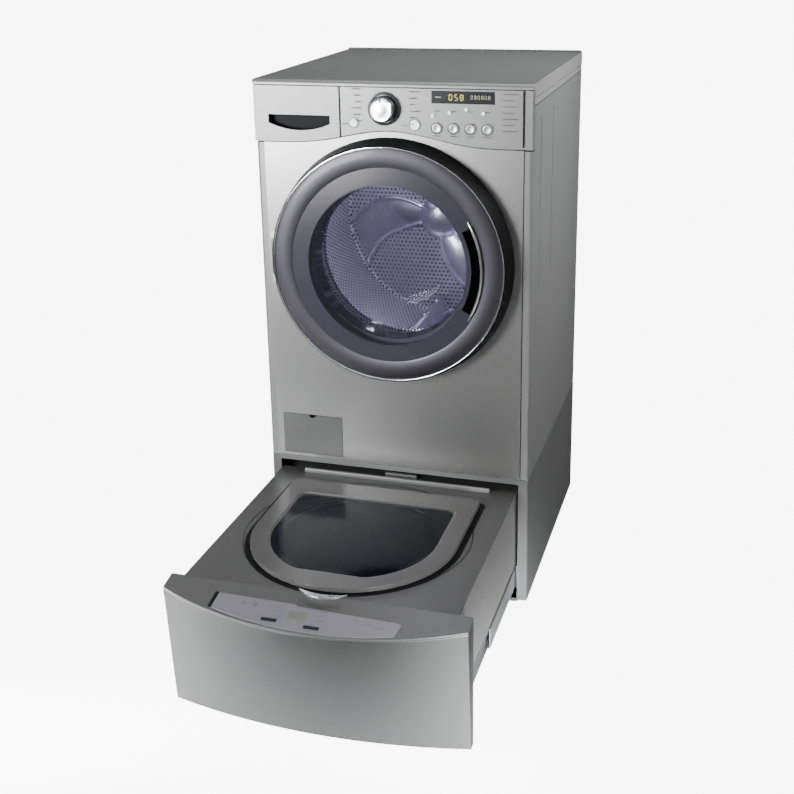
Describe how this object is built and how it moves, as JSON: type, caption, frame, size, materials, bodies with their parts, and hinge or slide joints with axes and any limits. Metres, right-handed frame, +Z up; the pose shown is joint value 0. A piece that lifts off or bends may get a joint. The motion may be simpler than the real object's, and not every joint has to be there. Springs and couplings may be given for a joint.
{
  "type": "front load washing machine",
  "caption": "Front load washing machine with a round glass door, standing on a pedestal whose pull-out drawer holds a small top-loading washer.",
  "frame": {"origin": "middle of the floor area covered by the machine with its lower drawer pulled out", "axes": "+Z up, -Y towards the user at the front, +X to the user's right"},
  "size_m": [0.686, 1.428, 1.34],
  "materials": {
    "enamel_light": "satin",
    "enamel_grey": "satin",
    "enamel_dark": "satin",
    "fascia_silver": "satin silver paint",
    "smoked_lens": "polished",
    "grey_plastic": "moulded",
    "white_plastic": "moulded",
    "black_plastic": "moulded",
    "smoked_cover": "polished",
    "bright_trim": "polished",
    "bowl_glass": "polished",
    "lid_smoked_glass": "polished",
    "gasket_rubber": "matt",
    "tub_plastic": "moulded",
    "concrete": "cast",
    "bearing_steel": "ground",
    "drum_steel": "perforated",
    "cast_alloy": "cast",
    "motor_steel": "lacquered",
    "spring_steel": "wire",
    "galvanised": "zinc",
    "facia_steel": "brushed",
    "strip_plastic": "satin",
    "lid_grey": "satin",
    "bar_grey": "satin",
    "foot_rubber": "matt"
  },
  "bodies": {
    "cabinet": {"cabinet_shell": "enamel_grey", "base_pan": "galvanised", "top_plate": "enamel_grey", "front_panel": "enamel_light", "control_panel": "fascia_silver", "display_lens": "smoked_lens", "dispenser_housing": "grey_plastic", "door_lock": "black_plastic", "hinge_bracket": "galvanised", "door_gasket": "gasket_rubber", "suspension_springs": "spring_steel", "damper_cylinders": "grey_plastic", "drain_pump": "white_plastic", "inlet_valve": "white_plastic", "drain_spigot": "grey_plastic", "pedestal_cabinet": "enamel_dark", "pedestal_feet": "foot_rubber", "rail_outer": "galvanised"},
    "tub": {"tub_front": "tub_plastic", "tub_rear": "tub_plastic", "counterweights": "concrete", "tub_bearings": "bearing_steel", "motor_stator": "motor_steel", "damper_rods": "spring_steel"},
    "drum": {"drum_shell": "drum_steel", "drum_lifters": "white_plastic", "drum_spider": "cast_alloy", "motor_rotor": "motor_steel"},
    "dispenser": {"dispenser_front": "fascia_silver", "dispenser_tray": "white_plastic"},
    "knob": {"program_knob": "bright_trim"},
    "power": {"power_button": "white_plastic"},
    "start": {"start_button": "white_plastic"},
    "option_1": {"option_button_1": "bright_trim"},
    "option_2": {"option_button_2": "bright_trim"},
    "option_3": {"option_button_3": "bright_trim"},
    "option_4": {"option_button_4": "bright_trim"},
    "door": {"door_frame": "black_plastic", "door_cover": "smoked_cover", "door_trim_ring": "bright_trim", "door_glass": "bowl_glass", "door_handle": "bright_trim", "hinge_arm": "cast_alloy"},
    "hook": {"latch_hook": "galvanised"},
    "filter": {"filter_cap": "grey_plastic"},
    "access_flap": {"pump_access_door": "enamel_light"},
    "slide_member": {"rail_middle": "galvanised"},
    "drawer": {"rail_inner": "galvanised", "drawer_box": "enamel_grey", "drawer_front": "facia_steel", "drawer_deck": "enamel_dark", "mini_control_strip": "strip_plastic", "deck_rear_bar": "bar_grey", "mini_tub": "tub_plastic", "mini_motor": "motor_steel"},
    "basket": {"mini_basket": "drum_steel"},
    "wash_plate": {"pulsator": "white_plastic"},
    "lid": {"lid_frame": "lid_grey", "lid_glass": "lid_smoked_glass", "lid_handle": "bright_trim"}
  },
  "joints": [
    {"name": "tub_float", "type": "slide", "parent": "cabinet", "child": "tub", "axis": [0, 0, 1], "range_m": [-0.006, 0.006], "stiffness_N_per_m": 30000, "springref_m": 0.0175, "deforming": ["suspension_springs", "door_gasket"]},
    {"name": "drum_spin", "type": "hinge", "parent": "tub", "child": "drum", "pos_m": [0, 0.2895, 0.901], "axis": [0, 1, 0], "continuous": true},
    {"name": "dispenser_slide", "type": "slide", "parent": "cabinet", "child": "dispenser", "axis": [0, -1, 0], "range_m": [0, 0.2]},
    {"name": "program_turn", "type": "hinge", "parent": "cabinet", "child": "knob", "pos_m": [-0.01, -0.0305, 1.273], "axis": [0, -1, 0], "continuous": true},
    {"name": "power_press", "type": "slide", "parent": "cabinet", "child": "power", "axis": [0, 1, 0], "range_m": [0, 0.002], "stiffness_N_per_m": 600, "springref_m": -0.001},
    {"name": "start_press", "type": "slide", "parent": "cabinet", "child": "start", "axis": [0, 1, 0], "range_m": [0, 0.002], "stiffness_N_per_m": 600, "springref_m": -0.001},
    {"name": "option_1_press", "type": "slide", "parent": "cabinet", "child": "option_1", "axis": [0, 1, 0], "range_m": [0, 0.002], "stiffness_N_per_m": 600, "springref_m": -0.001},
    {"name": "option_2_press", "type": "slide", "parent": "cabinet", "child": "option_2", "axis": [0, 1, 0], "range_m": [0, 0.002], "stiffness_N_per_m": 600, "springref_m": -0.001},
    {"name": "option_3_press", "type": "slide", "parent": "cabinet", "child": "option_3", "axis": [0, 1, 0], "range_m": [0, 0.002], "stiffness_N_per_m": 600, "springref_m": -0.001},
    {"name": "option_4_press", "type": "slide", "parent": "cabinet", "child": "option_4", "axis": [0, 1, 0], "range_m": [0, 0.002], "stiffness_N_per_m": 600, "springref_m": -0.001},
    {"name": "door_swing", "type": "hinge", "parent": "cabinet", "child": "door", "pos_m": [-0.3, -0.0245, 0.901], "axis": [0, 0, -1], "range_deg": [0, 110]},
    {"name": "hook_pivot", "type": "hinge", "parent": "door", "child": "hook", "pos_m": [0.2725, -0.0225, 0.901], "axis": [0, 0, -1], "range_deg": [0, 8], "stiffness_Nm_per_rad": 0.1, "springref_deg": -11.46},
    {"name": "filter_turn", "type": "hinge", "parent": "cabinet", "child": "filter", "pos_m": [-0.223, 0.0195, 0.419], "axis": [0, -1, 0], "range_deg": [0, 90]},
    {"name": "access_tilt", "type": "hinge", "parent": "cabinet", "child": "access_flap", "pos_m": [-0.223, -0.0092, 0.3688], "axis": [1, 0, 0], "range_deg": [0, 85]},
    {"name": "drawer_slide", "type": "slide", "parent": "cabinet", "child": "drawer", "axis": [0, 1, 0], "range_m": [0, 0.572]},
    {"name": "slide_member_travel", "type": "slide", "parent": "cabinet", "child": "slide_member", "axis": [0, 1, 0], "range_m": [0, 0.286]},
    {"name": "basket_spin", "type": "hinge", "parent": "drawer", "child": "basket", "pos_m": [0, -0.3105, 0.2], "axis": [0, 0, 1], "continuous": true},
    {"name": "wash_plate_spin", "type": "hinge", "parent": "basket", "child": "wash_plate", "pos_m": [0, -0.3105, 0.08], "axis": [0, 0, 1], "continuous": true},
    {"name": "lid_tilt", "type": "hinge", "parent": "drawer", "child": "lid", "pos_m": [0, -0.0985, 0.328], "axis": [1, 0, 0], "range_deg": [-85, 0]}
  ],
  "couplings": [
    {"joint": "slide_member_travel", "follows": "drawer_slide", "ratio": 0.5}
  ]
}
